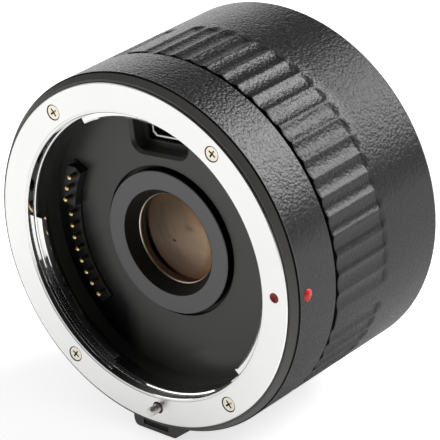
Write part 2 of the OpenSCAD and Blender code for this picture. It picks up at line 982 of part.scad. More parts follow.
// Insulating tongue inside the socket.
module socket_tongue() {
    color(black) lay()
        rotate([0, 0, socket_angle])
            span(
                [socket_in + 1.3, 0.9 - socket_half, board_z + 0.4],
                [socket_in + 1.9, socket_half - 0.9, socket_z - 0.8]
            );
}

// Flat cable from the rear contacts, through the chassis, to the underside of the board.
module ribbon_cable() {
    color([0.6, 0.4, 0.15]) lay()
        rotate([0, 0, 186]) {
            span(
                [contact_circle_r - 1.6, -ribbon_half, rear_block_z],
                [ribbon_r + ribbon_t, ribbon_half, rear_block_z + ribbon_t]
            );
            span(
                [ribbon_r, -ribbon_half, rear_block_z],
                [ribbon_r + ribbon_t, ribbon_half, board_z - board_t]
            );
            span(
                [ribbon_r, -ribbon_half, board_z - board_t - ribbon_t],
                [ribbon_r + 4.4, ribbon_half, board_z - board_t]
            );
        }
}

// Bayonet of the rear: flange, pilot, neck and three lugs that go behind those of the camera.
module rear_mount() {
    pilot_t = lug_depth - 0.2;
    relief = 0.15;
    rear_lug_z = lug_depth + lug_t + 0.1;
    color(chrome) lay()
        difference() {
            union() {
                rotate_extrude()
                    polygon([
                        [rear_bore_r, -rear_lug_z - 1.8],
                        [neck_r - 0.2, -rear_lug_z - 1.8],
                        [neck_r, -rear_lug_z - 1.6],
                        [neck_r, -pilot_t],
                        [pilot_r, -pilot_t],
                        [pilot_r, 0],
                        [pilot_r - 0.2, 0],
                        [pilot_r - 0.2, relief],
                        [pilot_r + 1, relief],
                        [pilot_r + 1, 0],
                        [spigot_r - 0.2, 0],
                        [spigot_r, 0.2],
                        [spigot_r, rear_flange_t],
                        [rear_bore_r, rear_flange_t]
                    ]);
                for (lug = rear_lug_spans)
                    sector(neck_r - 0.3, rear_lug_r, lug[0], lug[1], -rear_lug_z - 1.4, -rear_lug_z);
            }
            at(lock_circle_r, lock_pin_angle, -1)
                cylinder(h = rear_flange_t + 2, r = lock_hole_r);
            mount_screw_holes(lock_circle_r, 0, -1, 4);
            for (angle = rear_screw_angles)
                at(0, angle, rear_screw_z)
                    rotate([0, 90, 0])
                        translate([0, 0, rear_bore_r - 1])
                            cylinder(h = 3, r = 0.5 + fixed_gap);
        }
}

// Thin ring under the rear mount that sets the exact length.
module mount_shim() {
    color(nickel) lay()
        difference() {
            ring(rear_bore_r + 0.2, spigot_r, rear_flange_t, rear_wall_z);
            shank_holes(lock_circle_r, rear_flange_t - 1, rear_wall_z + 1);
            at(lock_circle_r, lock_pin_angle, 0)
                cylinder(h = 4, r = lock_hole_r + lock_hole_free);
        }
}

// Four countersunk screws of the rear mount.
module rear_mount_screws() {
    color(nickel) lay()
        for (angle = mount_screw_angles)
            at(lock_circle_r, angle, head_sink)
                rotate([180, 0, 0])
                    flat_screw(mount_screw, 3.6);
}

// Dark cup behind the rear lens, open where the rear contacts stand.
module rear_baffle() {
    floor_top = cell_end_z - fixed_gap;
    color(matte) lay()
        difference() {
            rotate_extrude()
                polygon([
                    [spacer_hole_r + 0.6, floor_top],
                    [spacer_hole_r + 1.2, floor_top - 0.9],
                    [rear_bore_r - 1.1, floor_top - 0.9],
                    [rear_bore_r - 1.1, pad_high_z],
                    [rear_bore_r - 0.1, pad_high_z],
                    [rear_bore_r - 0.1, floor_top]
                ]);
            sector(rear_block_in - 0.2, rear_bore_r + 1, block_start - 4, block_end + 4, -6, floor_top + 1);
        }
}

// Level of the rear face of the rear contact block at a pad.
function pad_z(i) = i < raised_count ? pad_high_z : pad_low_z;

// Insulating block that carries the contact pads of the rear.
module rear_contact_block() {
    color(black) lay()
        difference() {
            sector(
                rear_block_in, rear_bore_r - 0.1, block_start - 2, block_end + 2,
                pad_low_z, rear_block_z
            );
            sector(
                rear_block_in - 1, rear_bore_r + 1, block_start - 5, block_step + 1,
                pad_low_z - 1, pad_high_z
            );
            for (i = [0:pin_count - 1])
                at(contact_circle_r, contact_angles[i], pad_z(i) - 1)
                    cylinder(h = 1.3, r = 0.85);
            for (angle = rear_screw_angles)
                at(0, angle, rear_screw_z)
                    rotate([0, 90, 0]) {
                        translate([0, 0, rear_block_in - 0.6])
                            cylinder(h = 8, r = 0.6);
                        translate([0, 0, rear_block_in - 0.6])
                            cylinder(h = 1.6, r = 1);
                    }
        }
}

// Eleven contact pads, each opposite the place of a front pin.
module rear_contact_pads() {
    color(gold) lay()
        for (i = [0:pin_count - 1])
            at(contact_circle_r, contact_angles[i], pad_z(i) - 0.1)
                cylinder(h = 0.4, r = 0.8);
}

// Two screws that hold the rear contact block in the rear mount.
module rear_contact_screws() {
    color(nickel) lay()
        for (angle = rear_screw_angles)
            at(0, angle, rear_screw_z)
                rotate([0, 90, 0])
                    translate([0, 0, rear_block_in + 1])
                        rotate([180, 0, 0])
                            pan_screw([0.9, 0.5, 0.7], rear_bore_r + 1.2 - rear_block_in - 1);
}

// Painted dot on the rear shell that marks where the part enters the camera.
module rear_index_dot() {
    color(red) lay()
        at(0, -60, 6)
            rotate([0, 90, 0])
                translate([0, 0, barrel_r - 0.5])
                    cylinder(h = 0.47, r = 1.06);
}

// Slider of the release: a ridged button, a plate in the slot and an arm to the lock pin.
module release_slider() {
    button_bottom_z = button_top_z - button_length;
    button_face = tab_flat + 0.55;
    eye = lock_circle_r * [cos(lock_pin_angle - tab_angle), sin(lock_pin_angle - tab_angle)];
    color(black) lay()
        rotate([0, 0, tab_angle])
            difference() {
                union() {
                    span(
                        [slot_floor + 0.05, 0.1 - slot_half, plate_bottom_z],
                        [slot_roof - 0.05, slot_half - 0.1, tab_top_z - 0.2]
                    );
                    span(
                        [slot_roof - 0.5, -button_half, button_bottom_z],
                        [button_face, button_half, button_top_z]
                    );
                    span([eye[0] - 0.8, -arm_half, arm_bottom_z], [slot_floor + 0.5, arm_half, arm_top_z]);
                    span([eye[0] - 0.8, 0, arm_bottom_z], [eye[0] + 1.3, eye[1] + 1.5, arm_top_z]);
                }
                translate([eye[0], eye[1], arm_bottom_z - 1])
                    cylinder(h = arm_t + 2, r = lock_pin_r);
                for (i = [1:4])
                    translate([button_face, 0, button_bottom_z + i])
                        rotate([90, 0, 0])
                            cylinder(h = 2 * button_half + 1, r = 0.3, center = true);
            }
}

// Pin that drops into the lens and stops it from turning.
module lock_pin() {
    bottom = arm_bottom_z - 2.8;
    top = front_z + lock_pin_height;
    color(nickel) lay()
        at(lock_circle_r, lock_pin_angle, bottom) {
            cylinder(h = top - 0.3 - bottom, r = lock_pin_r);
            translate([0, 0, top - 0.3 - bottom])
                cylinder(h = 0.3, r1 = lock_pin_r, r2 = lock_pin_r - 0.3);
        }
}

// Spring that pushes the slider and the lock pin forward.
module release_spring() {
    turns = 6;
    wire = 0.16;
    high = arm_bottom_z - spring_seat_z;
    echo(spring_gap_mm = (high - 2 * wire) / turns - 2 * wire);
    color(nickel) lay()
        at(lock_circle_r, lock_pin_angle, 0)
            coil(lock_pin_r + 0.28, wire, spring_seat_z, arm_bottom_z, turns);
}

front_barrel();
main_barrel();
chassis();
chassis_screws();
front_mount_ring();
front_mount_screws();
bayonet_springs();
front_baffle();
well_wall();
index_dot();
index_bead();
lens_barrel();
lens_barrel_screws();
lens_front();
spacer_front();
lens_second();
spacer_middle();
lens_third();
lens_fourth();
spacer_rear();
lens_rear();
rear_retainer();
main_board();
board_screws();
board_chips();
front_contact_block();
contact_springs();
socket_shell();
socket_tongue();
ribbon_cable();
rear_mount();
mount_shim();
rear_mount_screws();
rear_baffle();
rear_contact_block();
rear_contact_pads();
rear_contact_screws();
rear_index_dot();
release_slider();
lock_pin();
release_spring();
contact_pin(0);  // contact_pin_1
contact_pin(1);  // contact_pin_2
contact_pin(2);  // contact_pin_3
contact_pin(3);  // contact_pin_4
contact_pin(4);  // contact_pin_5
contact_pin(5);  // contact_pin_6
contact_pin(6);  // contact_pin_7
contact_pin(7);  // contact_pin_8
contact_pin(8);  // contact_pin_9
contact_pin(9);  // contact_pin_10
contact_pin(10);  // contact_pin_11
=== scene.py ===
"""Looks of a camera teleconverter: finishes, floor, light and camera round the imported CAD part.

Lengths are in metres. The optical axis lies along Y, the front faces -Y and the release tab points down.
"""

import json
import math

import bmesh
import bpy
from mathutils import Matrix, Vector


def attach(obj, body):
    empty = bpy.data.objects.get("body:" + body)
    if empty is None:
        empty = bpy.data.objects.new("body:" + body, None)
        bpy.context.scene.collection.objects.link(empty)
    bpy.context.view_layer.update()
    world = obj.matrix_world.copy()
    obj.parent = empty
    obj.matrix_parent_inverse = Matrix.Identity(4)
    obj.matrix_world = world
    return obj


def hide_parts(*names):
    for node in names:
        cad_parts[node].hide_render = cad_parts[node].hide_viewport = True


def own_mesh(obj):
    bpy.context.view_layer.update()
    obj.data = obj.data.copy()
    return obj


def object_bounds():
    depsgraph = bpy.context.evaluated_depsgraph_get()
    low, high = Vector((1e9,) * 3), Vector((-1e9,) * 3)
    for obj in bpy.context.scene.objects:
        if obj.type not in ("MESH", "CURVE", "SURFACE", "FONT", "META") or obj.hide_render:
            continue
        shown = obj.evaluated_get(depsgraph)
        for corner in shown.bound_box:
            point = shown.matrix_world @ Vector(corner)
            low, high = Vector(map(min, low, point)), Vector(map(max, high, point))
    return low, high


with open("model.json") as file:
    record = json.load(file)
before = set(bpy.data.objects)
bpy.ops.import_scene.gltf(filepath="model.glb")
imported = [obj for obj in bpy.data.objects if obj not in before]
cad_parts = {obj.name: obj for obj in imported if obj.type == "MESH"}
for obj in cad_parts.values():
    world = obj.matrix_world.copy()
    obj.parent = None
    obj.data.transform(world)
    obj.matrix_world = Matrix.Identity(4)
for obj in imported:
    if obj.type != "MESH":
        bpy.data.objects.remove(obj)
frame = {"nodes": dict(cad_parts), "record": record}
cad_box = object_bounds()
nodes = frame["nodes"]

MM = 0.001

# Camera: where it stands, its axes and the width of its square field of view.
CAMERA_AT = Vector((0.28969, -0.36482, 0.21244))
CAMERA_RIGHT = Vector((0.7765, 0.6288, -0.0408))
CAMERA_UP = Vector((-0.2417, 0.3571, 0.9022))
CAMERA_BACK = Vector((0.5819, -0.6908, 0.4293))
FIELD_OF_VIEW = math.radians(9.1586)

# Light: the pale room is white at the horizon, darker overhead and darkest in one corner. The floor glows;
# in reflections it shows a painted reflection, one glow in front of the part and one behind it, and every
# glow fades close to the part as a painted shadow.
HORIZON_LEVEL = 1.0
OVERHEAD_LEVEL = 0.42
HORIZON_TOP = 0.06
OVERHEAD_FROM = 0.36
DARK_CORNER = Vector((0.46, -0.7, 0.55))
CORNER_FROM = 0.85
CORNER_FULL = 0.97
CORNER_LEVEL = 0.25
FLOOR_COLOUR = (0.86, 0.86, 0.86, 1)
FLOOR_MIRRORED = 0.6
FLOOR_GLOW = 0.86
FLOOR_SHADOW_GLOW = 0.7
FLOOR_BACK_GLOW = 0.5
FLOOR_BACK_OPEN = (0.6, 0.99)
FLOOR_FRONT_Y = -0.048
FLOOR_BACK_Y = -0.028
FLOOR_SHADE = 40 * MM
FLOOR_HALF = 3.0

# Levels along the axis where the finish of the shells changes, as row Y.
RIM_LINE_FRONT_Y = -41.46 * MM
RIM_EDGE_Y = -41.15 * MM
WRINKLE_FROM_Y = -40.9 * MM
GROOVE_FRONT_Y = -31.32 * MM
GROOVE_BACK_Y = -30.28 * MM
FLUTES_FROM_Y = -30.0 * MM
FLUTES_TO_Y = -15.0 * MM
FLUTE_ENDS_FROM_Y = FLUTES_TO_Y - 1.6 * MM
FLUTE_ENDS_TO_Y = FLUTES_TO_Y + 0.2 * MM

# Ranges across the barrel, as row X: where the wrinkle flattens, and where and how far a painted shade dims
# the sheen.
WRINKLE_FLATTENS_X = (27 * MM, 33 * MM)
SHEEN_DIMMING_X = (18 * MM, 30 * MM)
SHEEN_DIM_LEVEL_X = (22 * MM, 31 * MM)

# Ranges of the painted shadow on the well's floor, and of the painted reflection in the lenses.
WELL_SHADOW_R = (16.5 * MM, 20.0 * MM)
WELL_SHADOW_X = (-12 * MM, -8 * MM)
WELL_SHADOW_Z = (0.0, 5 * MM)
LENS_MIRROR_X = (-6 * MM, 7 * MM)
LENS_MIRROR_Z = (-1 * MM, 6 * MM)
LENS_MIRROR_RED_Z = (-7 * MM, -1 * MM)

# Radii where a finish changes: the ring's bore, lip and lugs, the lens tube's cone, collar and bright seat
# edge, and the ground edge of the lenses.
BORE_R = 27.03 * MM
BORE_END_R = 27.08 * MM
LIP_R = 26.68 * MM
LIP_END_R = 26.99 * MM
LUG_EDGE_R = 25.4 * MM
LUG_EDGE_END_R = 25.75 * MM
CONE_R = 10.14 * MM
COLLAR_R = 13.63 * MM
LENS_EDGE_R = 8.56 * MM
LENS_EDGE_END_R = 8.65 * MM
GROUND_EDGE_R = 6.8 * MM
GROUND_EDGE_END_R = 7.6 * MM

# Springs: the number of contact pins and how far a spring reaches round its axis.
PIN_COUNT = 11
SPRING_REACH = 1.6 * MM

# Moulded plastic: the scale and depth of its grain, and the two greys of the baffles.
GRAIN_SCALE = 3200
GRAIN_DEPTH = 0.02 * MM
BAFFLE_DARK = (0.07, 0.07, 0.066, 1)
BAFFLE_LIGHT = (0.078, 0.078, 0.074, 1)


class Finish:
    """One material and short names for building its nodes."""

    def __init__(self, name):
        self.material = bpy.data.materials.new(name)
        self.material.use_nodes = True
        self.nodes = self.material.node_tree.nodes
        self.links = self.material.node_tree.links
        self.shader = self.nodes["Principled BSDF"]
        self.place = self.add("TexCoord").outputs["Object"]

    def feed(self, socket, value):
        """Links a socket to another, or sets its own value."""
        if isinstance(value, bpy.types.NodeSocket):
            self.links.new(value, socket)
        else:
            socket.default_value = value

    def add(self, kind, inputs=None, **settings):
        """A new node, with its settings and its inputs by name or number."""
        node = self.nodes.new("ShaderNode" + kind)
        for key, value in settings.items():
            setattr(node, key, value)
        for key, value in (inputs or {}).items():
            self.feed(node.inputs[key], value)
        return node

    def set(self, **inputs):
        """Sets inputs of the main shader; an underscore in a name stands for a space."""
        for key, value in inputs.items():
            self.feed(self.shader.inputs[key.replace("_", " ")], value)

    def maths(self, operation, a, b=0.0):
        return self.add("Math", {0: a, 1: b}, operation=operation).outputs[0]

    def noise(self, scale, detail=3.0, rough=0.5, vector=None):
        source = self.place if vector is None else vector
        inputs = {"Vector": source, "Scale": scale, "Detail": detail, "Roughness": rough}
        return self.add("TexNoise", inputs).outputs["Fac"]

    def cells(self, scale, smooth):
        """Rounded cells, such as the bumps of a wrinkle paint."""
        inputs = {"Vector": self.place, "Scale": scale, "Smoothness": smooth}
        return self.add("TexVoronoi", inputs, feature="SMOOTH_F1").outputs["Distance"]

    def remap(self, value, low, high, to_low, to_high):
        inputs = {"Value": value, "From Min": low, "From Max": high, "To Min": to_low, "To Max": to_high}
        return self.add("MapRange", inputs).outputs["Result"]

    def blend(self, factor, a, b):
        """Mixes two colours."""
        node = self.add("Mix", data_type="RGBA")
        self.feed(node.inputs["Factor"], factor)
        self.feed(node.inputs[6], a)
        self.feed(node.inputs[7], b)
        return node.outputs[2]

    def bump(self, height, strength, depth, below=None):
        inputs = {"Height": height, "Strength": strength, "Distance": depth}
        if below is not None:
            inputs["Normal"] = below
        return self.add("Bump", inputs).outputs["Normal"]

    def axis_y(self):
        return self.add("SeparateXYZ", {0: self.place}).outputs["Y"]

    def radius(self):
        """Distance from the optical axis."""
        parts = self.add("SeparateXYZ", {0: self.place})
        x = self.maths("MULTIPLY", parts.outputs["X"], parts.outputs["X"])
        z = self.maths("MULTIPLY", parts.outputs["Z"], parts.outputs["Z"])
        return self.maths("SQRT", self.maths("ADD", x, z))

    def turned_lines(self, pitch):
        """Fine rings left by a lathe, on faces and bores alike, as a height from 0 to 1."""
        along = self.maths("ADD", self.radius(), self.axis_y())
        line = self.add("CombineXYZ", {"X": along}).outputs[0]
        return self.noise(1 / pitch, 2.0, 0.6, line)

    def between(self, value, low, high, soft):
        """1 where a value lies between two levels, and 0 outside them."""
        rise = self.remap(value, low - soft, low, 0.0, 1.0)
        return self.maths("MULTIPLY", rise, self.remap(value, high, high + soft, 1.0, 0.0))

    def lean_inward(self, normal, share):
        """A normal that leans toward the optical axis, as on a rounded lip."""
        inward = self.add("VectorMath", {0: self.place, 1: (-1, 0, -1)}, operation="MULTIPLY").outputs[0]
        inward = self.add("VectorMath", {0: inward}, operation="NORMALIZE").outputs[0]
        inward = self.add("VectorMath", {0: inward, "Scale": share}, operation="SCALE").outputs[0]
        return self.add("VectorMath", {0: normal, 1: inward}, operation="ADD").outputs[0]

    def soft_edges(self, width):
        """A normal that rounds sharp edges over a width."""
        return self.add("Bevel", {"Radius": width}, samples=6).outputs[0]

    def hollows(self, reach):
        """Near 1 in the open and near 0 in narrow recesses."""
        return self.add("AmbientOcclusion", {"Distance": reach}, samples=16).outputs["AO"]


def grey(level):
    return (level, level, level, 1)


def barrel_paint():
    """Black wrinkle paint, smooth on the rim round the ring, with painted shade in the groove before the
    grip.
    """
    f = Finish("barrel_paint")
    y = f.axis_y()
    wrinkle = f.cells(1600, 0.4)
    grain = f.noise(2800, 3.0, 0.55)
    height = f.maths("SUBTRACT", f.maths("MULTIPLY", grain, 0.6), f.maths("MULTIPLY", wrinkle, 0.55))
    textured = f.remap(y, RIM_EDGE_Y, WRINKLE_FROM_Y, 0.0, 1.0)
    across = f.add("SeparateXYZ", {0: f.place}).outputs["X"]
    behind = f.remap(y, GROOVE_BACK_Y, FLUTES_FROM_Y, 0.0, 1.0)
    relief = f.maths("MULTIPLY", textured, f.remap(across, *WRINKLE_FLATTENS_X, 0.9, 0.25))
    # Painted shade on the sheen: it is dimmed over the rear shell, and behind the groove toward +X.
    sheen_dimming = f.maths("MULTIPLY", behind, f.remap(across, *SHEEN_DIMMING_X, 0.0, 1.0))
    sheen_dimming = f.maths("MAXIMUM", sheen_dimming, f.remap(y, FLUTES_TO_Y - 1 * MM, FLUTES_TO_Y + 1 * MM, 0.0, 1.0))
    # Painted shade: the groove before the grip and the line at the rim's edge are painted near black and
    # rough.
    groove = f.between(y, GROOVE_FRONT_Y, GROOVE_BACK_Y, 0.02 * MM)
    painted_groove_shade = f.maths("MAXIMUM", groove, f.between(y, RIM_LINE_FRONT_Y, RIM_EDGE_Y, 0.02 * MM))
    # Painted shade: the low places of the wrinkle are painted near black with a halved sheen, fading where
    # the wrinkle flattens.
    pit_shade = f.maths("MULTIPLY", f.remap(height, -0.1, -0.2, 0.0, 1.0), relief)
    paint = f.blend(textured, (0.15, 0.147, 0.138, 1), f.blend(pit_shade, grey(0.036), grey(0.006)))
    # Painted light: the end walls of the flutes that face the front are painted a lighter grey.
    facing = f.add("SeparateXYZ", {0: f.add("NewGeometry").outputs["Normal"]}).outputs["Y"]
    lit_flute_ends = f.between(y, FLUTE_ENDS_FROM_Y, FLUTE_ENDS_TO_Y, 0.1 * MM)
    lit_flute_ends = f.maths("MULTIPLY", lit_flute_ends, f.remap(facing, -0.3, -0.1, 1.0, 0.0))
    paint = f.blend(lit_flute_ends, paint, grey(0.08))
    rounding = f.remap(f.between(y, FLUTES_FROM_Y, FLUTES_TO_Y, 0.3 * MM), 0.0, 1.0, 0.12 * MM, 0.65 * MM)
    gloss = f.remap(grain, 0.3, 0.7, 0.3, 0.23)
    sheen = f.blend(sheen_dimming, grey(1.0), f.remap(across, *SHEEN_DIM_LEVEL_X, 0.36, 0.64))
    f.set(
        Base_Color=f.blend(painted_groove_shade, paint, grey(0.001)),
        Roughness=f.maths("MAXIMUM", f.remap(textured, 0.0, 1.0, 0.5, gloss), painted_groove_shade),
        Specular_Tint=f.blend(pit_shade, sheen, grey(0.5)),
        Normal=f.bump(height, relief, 0.17 * MM, f.soft_edges(rounding)),
    )
    return f.material


def mount_chrome():
    """Satin chrome with the fine rings of the lathe, polished in the bore, with painted shade in its gaps.
    """
    f = Finish("mount_chrome")
    lines = f.turned_lines(0.12 * MM)
    plate = f.blend(f.noise(90, 2.0), (0.86, 0.86, 0.85, 1), (0.9, 0.9, 0.89, 1))
    satin = f.remap(lines, 0.3, 0.7, 0.3, 0.38)
    radius = f.radius()
    bore = f.remap(radius, BORE_R, BORE_END_R, 0.15, 1.0)
    turned = f.remap(radius, BORE_R, BORE_END_R, 0.0, 0.06)
    lip = f.between(radius, LIP_R, LIP_END_R, 0.01 * MM)
    lip = f.maths("MAXIMUM", lip, f.between(radius, LUG_EDGE_R, LUG_EDGE_END_R, 0.01 * MM))
    # Painted shade: narrow gaps and recesses are painted near black, except on the lip and lug edges.
    unshaded = f.maths("MAXIMUM", f.remap(f.hollows(0.5 * MM), 0.4, 0.82, 0.0, 1.0), lip)
    f.set(
        Base_Color=f.blend(unshaded, grey(0.015), plate),
        Metallic=1.0,
        Roughness=f.maths("MULTIPLY", satin, bore),
        Normal=f.lean_inward(f.bump(lines, turned, 0.01 * MM), f.maths("MULTIPLY", lip, 0.8)),
    )
    return f.material


def plated(name, dark, light, rough, recess_shade=(0.03, 0.025, 0.02, 1), reach=0.35 * MM):
    """Bright plated metal, darkened in its recesses as painted shade, with a little wear."""
    f = Finish(name)
    wear = f.noise(700, 4.0, 0.6)
    plate = f.blend(f.remap(wear, 0.3, 0.7, 0.0, 1.0), dark, light)
    f.set(
        # Painted shade: the metal turns to a dark colour in recesses.
        Base_Color=f.blend(f.remap(f.hollows(reach), 0.35, 0.8, 0.0, 1.0), recess_shade, plate),
        Metallic=1.0,
        Roughness=f.remap(wear, 0.3, 0.7, rough - 0.06, rough + 0.08),
        Normal=f.bump(f.noise(2400, 3.0), 0.05, 0.02 * MM),
    )
    return f.material


def moulded(name, dark, light, rough):
    """Moulded plastic with a fine even grain."""
    f = Finish(name)
    grain = f.noise(GRAIN_SCALE, 3.0, 0.6)
    shade = f.noise(60, 2.0)
    f.set(
        Base_Color=f.blend(f.remap(shade, 0.35, 0.65, 0.0, 1.0), dark, light),
        Roughness=f.remap(grain, 0.3, 0.7, rough - 0.04, rough + 0.06),
        Normal=f.bump(grain, 0.25, GRAIN_DEPTH),
    )
    return f.material


def well_plastic():
    """The plastic of the well's floor, with a painted shadow beside the contacts."""
    f = Finish("well_plastic")
    parts = f.add("SeparateXYZ", {0: f.place}).outputs
    outer = f.remap(f.radius(), *WELL_SHADOW_R, 0.0, 1.0)
    left = f.remap(parts["X"], *WELL_SHADOW_X, 1.0, 0.0)
    low = f.remap(parts["Z"], *WELL_SHADOW_Z, 1.0, 0.0)
    # Painted shadow: the floor beside the contacts is painted near black with a dimmed sheen.
    well_shadow = f.maths("MULTIPLY", outer, f.maths("MULTIPLY", left, low))
    floor = f.blend(f.noise(60, 2.0), BAFFLE_DARK, BAFFLE_LIGHT)
    grain = f.noise(GRAIN_SCALE, 3.0, 0.6)
    f.set(
        Base_Color=f.blend(well_shadow, floor, grey(0.01)),
        Roughness=f.remap(grain, 0.3, 0.7, 0.3, 0.4),
        Specular_Tint=f.blend(well_shadow, grey(1.0), grey(0.45)),
        Normal=f.bump(grain, 0.25, GRAIN_DEPTH),
    )
    return f.material


def cell_black():
    """Black anodised metal with the rings of the lathe, matte inside the cone and bare at the seat's edge,
    with painted shade on the collar's outer wall and painted light brown inside the lens's seat.
    """
    f = Finish("cell_black")
    lines = f.turned_lines(0.1 * MM)
    radius = f.radius()
    cone = f.remap(radius, CONE_R, CONE_R + 0.03 * MM, 1.0, 0.0)
    edge = f.between(radius, LENS_EDGE_R, LENS_EDGE_END_R, 0.01 * MM)
    # Painted shade: the collar's outer wall is painted black with its sheen dimmed.
    collar_shade = f.remap(radius, COLLAR_R - 0.02 * MM, COLLAR_R, 0.0, 1.0)
    face = f.blend(f.noise(150, 2.0), grey(0.07), grey(0.08))
    face = f.blend(collar_shade, face, grey(0.002))
    # Painted light: inside the lens's seat the black is painted light brown, standing in for light from
    # within the lens.
    seat = f.remap(radius, LENS_EDGE_R - 0.01 * MM, LENS_EDGE_R, 1.0, 0.0)
    black = f.blend(cone, face, f.blend(seat, (0.014, 0.013, 0.011, 1), (0.6, 0.38, 0.2, 1)))
    f.set(
        Base_Color=f.blend(edge, black, (1.0, 0.93, 0.82, 1)),
        Metallic=edge,
        Roughness=f.remap(f.maths("SUBTRACT", cone, edge), 0.0, 1.0, 0.4, 0.75),
        Specular_IOR_Level=1.0,
        Specular_Tint=f.blend(f.maths("MAXIMUM", cone, collar_shade), grey(1.0), (0.24, 0.2, 0.16, 1)),
        Normal=f.bump(lines, 0.1, 0.01 * MM),
    )
    return f.material


def lens_glass(name, tint, least_mirror, most_mirror, rough, bend=1.5):
    """Warm glass with a painted reflection, a mirror share that is stronger toward +X and redder low down;
    shadow rays pass.
    """
    f = Finish(name)
    parts = f.add("SeparateXYZ", {0: f.place}).outputs
    # Painted reflection: the mirror share and its redder tint low down are set by position on the lens.
    redder_low = f.remap(parts["Z"], *LENS_MIRROR_RED_Z, 1.0, 0.0)
    share = f.remap(parts["X"], *LENS_MIRROR_X, least_mirror, most_mirror)
    share = f.maths("MULTIPLY", share, f.remap(parts["Z"], *LENS_MIRROR_Z, 1.0, 0.35))
    sleek = f.noise(300, 3.0)
    tint = f.blend(f.remap(sleek, 0.3, 0.7, 0.0, 0.2), tint, grey(1.0))
    edge = f.remap(f.radius(), GROUND_EDGE_R, GROUND_EDGE_END_R, 0.0, 1.0)
    tint = f.blend(edge, tint, (0.62, 0.44, 0.27, 1))
    f.set(
        Base_Color=f.blend(redder_low, tint, f.blend(0.5, tint, (0.5, 0.16, 0.06, 1))),
        Metallic=f.maths("MULTIPLY", share, f.remap(redder_low, 0.0, 1.0, 1.0, 0.55)),
        Roughness=f.remap(sleek, 0.3, 0.7, rough, rough + 0.015),
        Specular_Tint=(0.1, 0.075, 0.05, 1),
        IOR=bend,
        Transmission_Weight=f.remap(edge, 0.0, 1.0, 1.0, 0.84),
    )
    clear = f.add("BsdfTransparent", {"Color": (0.9, 0.82, 0.7, 1)})
    path = f.add("LightPath")
    mix = f.add("MixShader", {0: path.outputs["Is Shadow Ray"], 1: f.shader.outputs[0], 2: clear.outputs[0]})
    f.links.new(mix.outputs[0], f.nodes["Material Output"].inputs["Surface"])
    return f.material


def gilt():
    """Gold plated contacts, bright on the ends that touch, rougher on the sides and painted darker there as
    shade.
    """
    f = Finish("contact_gold")
    facing = f.add("SeparateXYZ", {0: f.add("NewGeometry").outputs["Normal"]}).outputs["Y"]
    end = f.remap(f.maths("ABSOLUTE", facing), 0.05, 0.35, 0.0, 1.0)
    wear = f.noise(900, 3.0)
    # Painted shade: the sides of the contacts get a darker brown than the ends.
    shaded_side = f.blend(wear, (0.36, 0.22, 0.08, 1), (0.46, 0.3, 0.13, 1))
    touch = f.blend(wear, (0.9, 0.7, 0.3, 1), (1.0, 0.87, 0.5, 1))
    f.set(
        Base_Color=f.blend(end, shaded_side, touch),
        Metallic=1.0,
        Roughness=f.remap(end, 0.0, 1.0, 0.3, 0.46),
        Normal=f.bump(f.noise(2400, 3.0), 0.05, 0.02 * MM),
    )
    return f.material


def red_finish(name, dark, light, rough):
    """Glossy red paint or plastic."""
    f = Finish(name)
    f.set(
        Base_Color=f.blend(f.noise(900, 2.0), dark, light),
        Roughness=f.remap(f.noise(2000, 2.0), 0.3, 0.7, rough, rough + 0.08),
        Coat_Weight=0.3,
        Coat_Roughness=0.1,
    )
    return f.material


FINISHES = {
    "barrel_paint": barrel_paint(),
    "mount_chrome": mount_chrome(),
    "screw_nickel": plated(
        "screw_nickel", (0.76, 0.7, 0.56, 1), (0.88, 0.82, 0.7, 1), 0.26, (0.08, 0.05, 0.025, 1), 0.6 * MM
    ),
    "pin_steel": plated("pin_steel", (0.78, 0.74, 0.66, 1), (0.88, 0.85, 0.78, 1), 0.5),
    "spring_steel": plated("spring_steel", (0.5, 0.5, 0.48, 1), (0.64, 0.64, 0.62, 1), 0.28),
    "socket_steel": plated("socket_steel", (0.5, 0.48, 0.45, 1), (0.62, 0.6, 0.57, 1), 0.3),
    "contact_gold": gilt(),
    "alloy": plated("alloy", (0.5, 0.51, 0.52, 1), (0.62, 0.63, 0.64, 1), 0.45),
    "baffle_plastic": moulded("baffle_plastic", BAFFLE_DARK, BAFFLE_LIGHT, 0.34),
    "black_plastic": moulded("black_plastic", grey(0.004), grey(0.007), 0.65),
    "chip_black": moulded("chip_black", grey(0.012), grey(0.018), 0.55),
    "board_green": moulded("board_green", (0.008, 0.06, 0.025, 1), (0.012, 0.085, 0.035, 1), 0.35),
    "ribbon_amber": moulded("ribbon_amber", (0.32, 0.14, 0.02, 1), (0.42, 0.2, 0.04, 1), 0.3),
    "cell_black": cell_black(),
    "lens_glass": lens_glass("lens_glass", (0.3, 0.2, 0.13, 1), 0.02, 0.04, 0.0),
    "red_paint": red_finish("red_paint", (0.36, 0.003, 0.008, 1), (0.46, 0.005, 0.01, 1), 0.5),
    "red_plastic": red_finish("red_plastic", (0.88, 0.02, 0.018, 1), (0.95, 0.03, 0.025, 1), 0.25),
}

# Nodes whose finish differs from the rest of their slot.
OWN_FINISHES = {
    "front_baffle": well_plastic(),
    "front_contact_block": moulded("block_plastic", grey(0.018), grey(0.024), 0.42),
    "lens_front": lens_glass("lens_glass_front_mirror", (0.84, 0.66, 0.48, 1), 0.04, 0.19, 0.12, 1.02),
    "lens_second": lens_glass("lens_glass_second_mirror", (0.86, 0.6, 0.38, 1), 0.11, 0.24, 0.12),
}


def dress_nodes():
    """Gives every CAD node its own finish, or that of its slot in the record."""
    for part in frame["record"]["subparts"]:
        mesh = nodes[part["node"]].data
        mesh.materials.clear()
        mesh.materials.append(OWN_FINISHES.get(part["node"], FINISHES[part["material_slot"]]))


